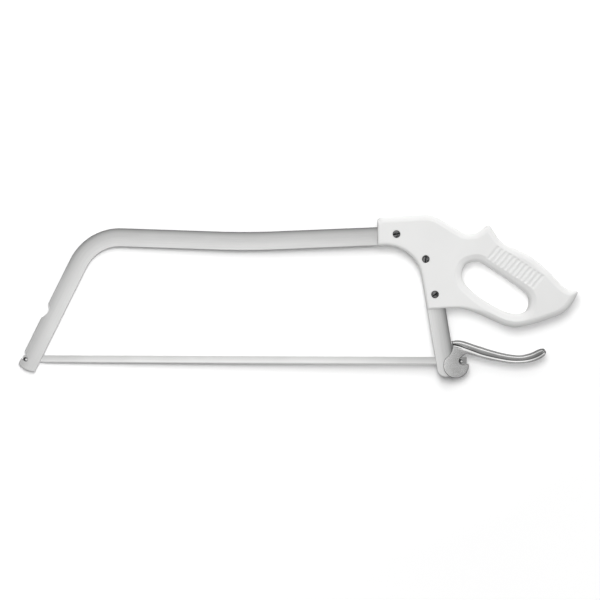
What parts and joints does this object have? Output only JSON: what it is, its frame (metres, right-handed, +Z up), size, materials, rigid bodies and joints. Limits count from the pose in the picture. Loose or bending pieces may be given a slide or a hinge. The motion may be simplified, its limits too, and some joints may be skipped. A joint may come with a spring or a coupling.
{
  "type": "butcher saw",
  "caption": "Bow-framed butcher saw with a bent flat steel bar, a closed white moulded handle, a thin toothed blade and a folded over-centre lever that hooks and tensions the blade.",
  "frame": {"origin": "middle of the saw's length and width, on the surface that it lies on", "axes": "+X along the blade towards the handle, +Y from the blade to the back bar, +Z up out of the saw's flat side"},
  "size_m": [0.6416, 0.1876, 0.028],
  "materials": {
    "satin_steel": "satin brushed along the bar",
    "blade_steel": "fine ground",
    "polished_steel": "polished",
    "dark_steel": "dark oxide",
    "white_plastic": "satin moulded"
  },
  "bodies": {
    "frame": {"frame_bow": "satin_steel", "handle": "white_plastic", "handle_screw_front": "dark_steel", "handle_screw_middle": "dark_steel", "handle_screw_low": "dark_steel", "sleeve_nut_front": "dark_steel", "sleeve_nut_middle": "dark_steel", "sleeve_nut_low": "dark_steel"},
    "lever": {"tension_lever": "polished_steel", "lever_pivot_upper": "polished_steel", "lever_pivot_lower": "polished_steel"},
    "blade": {"saw_blade": "blade_steel", "blade_front_pin": "blade_steel", "blade_rear_pin": "blade_steel"}
  },
  "joints": [
    {"name": "lever_swing", "type": "hinge", "parent": "frame", "child": "lever", "pos_m": [0.17363, -0.07648, 0.014], "axis": [0, 0, 1], "range_deg": [-60, 0]},
    {"name": "blade_swing", "type": "hinge", "parent": "frame", "child": "blade", "pos_m": [-0.31258, -0.07407, 0.014], "axis": [0, 0, 1], "range_deg": [-2.2, 0]}
  ],
  "couplings": [
    {"joint": "blade_swing", "follows": "lever_swing", "ratio": 0.036}
  ]
}
